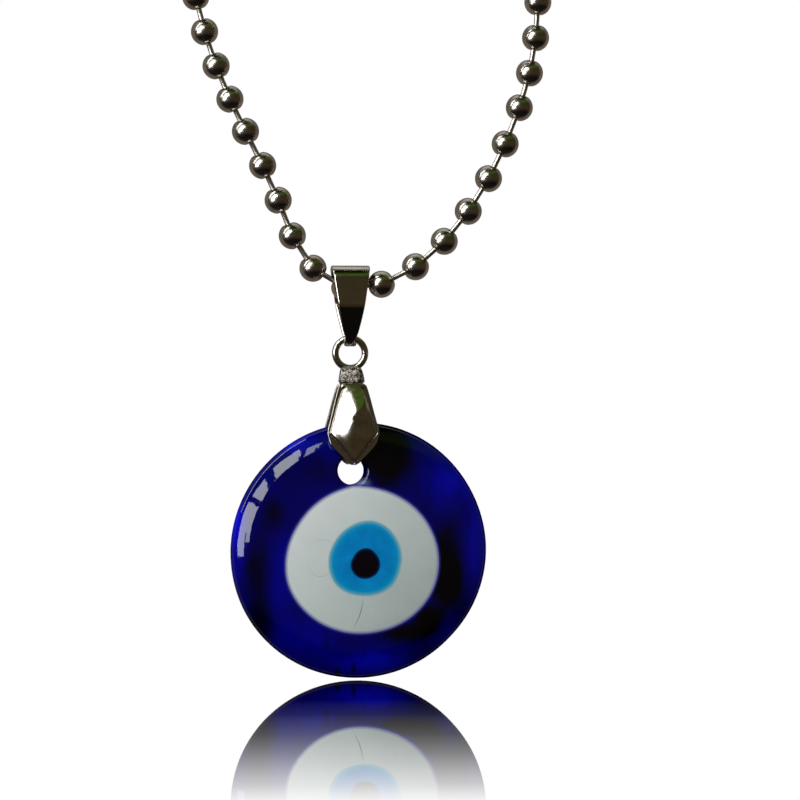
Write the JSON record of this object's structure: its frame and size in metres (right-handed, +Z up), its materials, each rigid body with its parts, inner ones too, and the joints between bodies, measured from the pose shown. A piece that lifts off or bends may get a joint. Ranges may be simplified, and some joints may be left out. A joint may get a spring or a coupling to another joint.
{
  "type": "evil eye pendant necklace",
  "caption": "Round fused glass eye held by a pinch clip, ring and folded bail on a nickel ball chain, which is wound in turns for a round peg.",
  "frame": {"origin": "middle of the wound chain, on the axis of the round peg that it hangs on", "axes": "+Z up, the eye faces -Y, +X to the right of a person looking at the eye"},
  "size_m": [0.045, 0.0184, 0.1262],
  "materials": {
    "bead_nickel": "nickel plate, bright, slightly worn",
    "pin_nickel": "nickel plate, bright",
    "clasp_nickel": "nickel plate, bright",
    "bail_nickel": "nickel plate, mirror bright",
    "clip_nickel": "nickel plate, mirror bright, cast neck",
    "cobalt_glass": "glossy fused glass, deep cobalt",
    "white_glass": "glossy opal white glass",
    "light_blue_glass": "glossy light blue glass",
    "black_glass": "glossy black glass"
  },
  "bodies": {
    "wound_chain": {"wound_beads": "bead_nickel", "wound_pins": "pin_nickel", "clasp_end_beads": "bead_nickel"},
    "clasp": {"clasp": "clasp_nickel"},
    "upper_chain": {"upper_strand_beads": "bead_nickel", "upper_strand_pins": "pin_nickel"},
    "middle_chain": {"left_bead_05": "bead_nickel", "left_bead_06": "bead_nickel", "left_bead_07": "bead_nickel", "left_bead_08": "bead_nickel", "left_bead_09": "bead_nickel", "left_pin_06": "pin_nickel", "left_pin_07": "pin_nickel", "left_pin_08": "pin_nickel", "left_pin_09": "pin_nickel", "left_pin_10": "pin_nickel", "right_bead_06": "bead_nickel", "right_bead_07": "bead_nickel", "right_bead_08": "bead_nickel", "right_bead_09": "bead_nickel", "right_bead_10": "bead_nickel", "right_pin_07": "pin_nickel", "right_pin_08": "pin_nickel", "right_pin_09": "pin_nickel", "right_pin_10": "pin_nickel", "right_pin_11": "pin_nickel"},
    "lower_chain": {"bail_bead": "bead_nickel", "left_bead_01": "bead_nickel", "left_bead_02": "bead_nickel", "left_bead_03": "bead_nickel", "left_bead_04": "bead_nickel", "left_pin_01": "pin_nickel", "left_pin_02": "pin_nickel", "left_pin_03": "pin_nickel", "left_pin_04": "pin_nickel", "left_pin_05": "pin_nickel", "right_bead_01": "bead_nickel", "right_bead_02": "bead_nickel", "right_bead_03": "bead_nickel", "right_bead_04": "bead_nickel", "right_bead_05": "bead_nickel", "right_pin_01": "pin_nickel", "right_pin_02": "pin_nickel", "right_pin_03": "pin_nickel", "right_pin_04": "pin_nickel", "right_pin_05": "pin_nickel", "right_pin_06": "pin_nickel"},
    "bail": {"bail": "bail_nickel"},
    "ring": {"ring": "clip_nickel"},
    "clip": {"clip_neck": "clip_nickel"},
    "front_leaf": {"clip_front_leaf": "clip_nickel"},
    "back_leaf": {"clip_back_leaf": "clip_nickel"},
    "glass": {"cobalt_glass": "cobalt_glass", "white_glass": "white_glass", "light_blue_glass": "light_blue_glass", "black_glass": "black_glass"}
  },
  "joints": [
    {"name": "chain_swing_upper", "type": "hinge", "parent": "wound_chain", "child": "upper_chain", "pos_m": [0.00001, 0, 0.00077], "axis": [0.9999, -0.0012, -0.0132], "range_deg": [-5, 5]},
    {"name": "chain_swing_middle", "type": "hinge", "parent": "upper_chain", "child": "middle_chain", "pos_m": [0.00045, 0, -0.02138], "axis": [0.9999, 0, -0.0146], "range_deg": [-15, 15]},
    {"name": "chain_swing_lower", "type": "hinge", "parent": "middle_chain", "child": "lower_chain", "pos_m": [0.0017, 0, -0.04182], "axis": [0.9985, 0, -0.0539], "range_deg": [-15, 15]},
    {"name": "bail_swing", "type": "hinge", "parent": "lower_chain", "child": "bail", "pos_m": [-0.00195, 0, -0.05814], "axis": [1, 0, 0], "range_deg": [-60, 60]},
    {"name": "ring_swing", "type": "hinge", "parent": "bail", "child": "ring", "pos_m": [-0.0013, 0, -0.06412], "axis": [1, 0, 0], "range_deg": [-45, 45]},
    {"name": "clip_turn", "type": "hinge", "parent": "ring", "child": "clip", "pos_m": [-0.0013, 0, -0.06586], "axis": [0, 1, 0], "range_deg": [-60, 60]},
    {"name": "front_leaf_open", "type": "hinge", "parent": "clip", "child": "front_leaf", "pos_m": [-0.00115, -0.0014, -0.06975], "axis": [-1, 0, 0], "range_deg": [0, 20]},
    {"name": "back_leaf_open", "type": "hinge", "parent": "clip", "child": "back_leaf", "pos_m": [-0.00115, 0.0014, -0.06975], "axis": [1, 0, 0], "range_deg": [0, 20]},
    {"name": "glass_swing", "type": "hinge", "parent": "clip", "child": "glass", "pos_m": [-0.00115, 0, -0.07845], "axis": [0, 1, 0], "range_deg": [-40, 40]},
    {"name": "clasp_open", "type": "hinge", "parent": "wound_chain", "child": "clasp", "pos_m": [-0.00365, -0.00322, 0.02013], "axis": [-0.2332, -0.9724, 0], "range_deg": [0, 30]}
  ]
}
